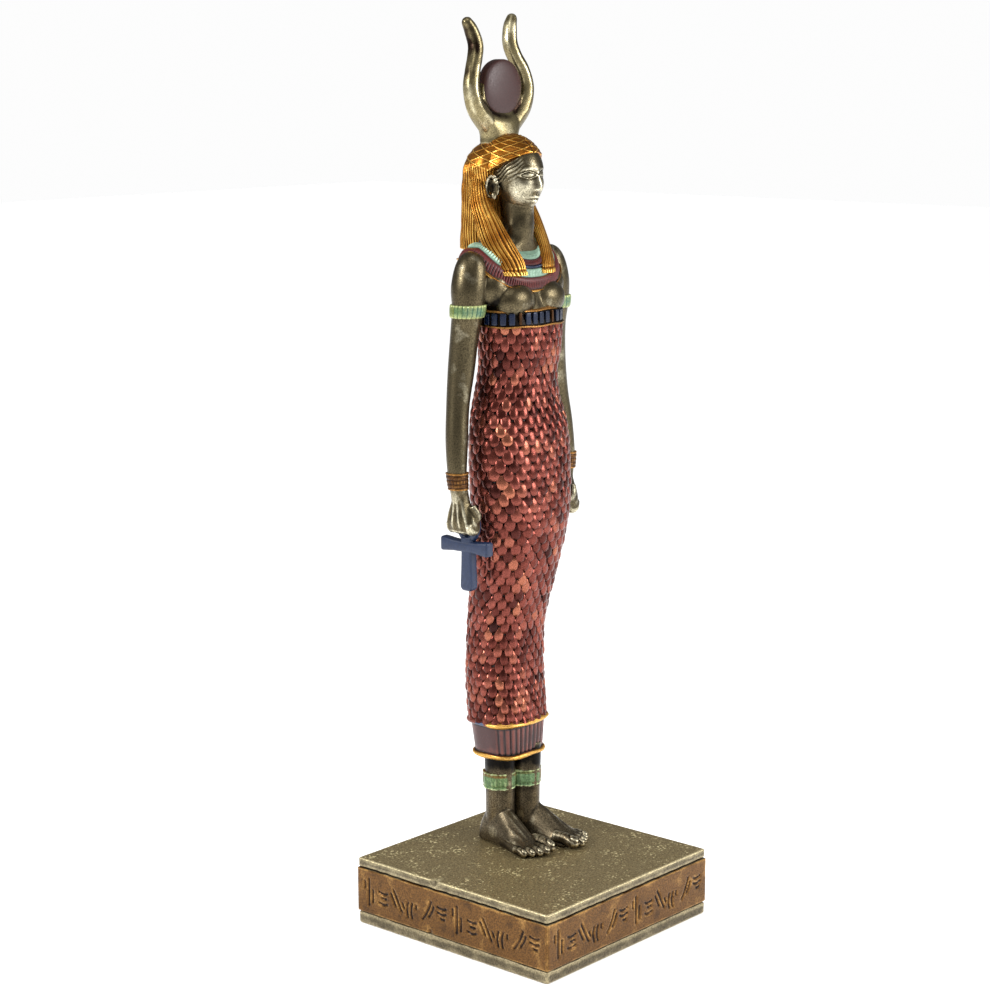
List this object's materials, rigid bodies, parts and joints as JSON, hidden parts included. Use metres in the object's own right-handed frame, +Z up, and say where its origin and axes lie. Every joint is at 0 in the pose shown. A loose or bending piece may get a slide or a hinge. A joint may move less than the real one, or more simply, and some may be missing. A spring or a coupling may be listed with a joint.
{
  "type": "egyptian goddess figurine",
  "caption": "Standing Egyptian goddess figurine with cow horns and sun disc, long scaled sheath gown and an ankh in the right hand, on a square plinth.",
  "frame": {"origin": "centre of the plinth's underside", "axes": "+Z up through the horns; the figure faces -Y; +X is the figure's left"},
  "size_m": [0.0722, 0.0722, 0.2591],
  "materials": {
    "painted_resin": "satin metallic paint on cold-cast resin, with colours for gown, hair and jewellery",
    "plinth_resin": "satin antique bronze paint on cold-cast resin"
  },
  "bodies": {
    "root": {"figure": "painted_resin", "plinth": "plinth_resin"}
  },
  "joints": []
}
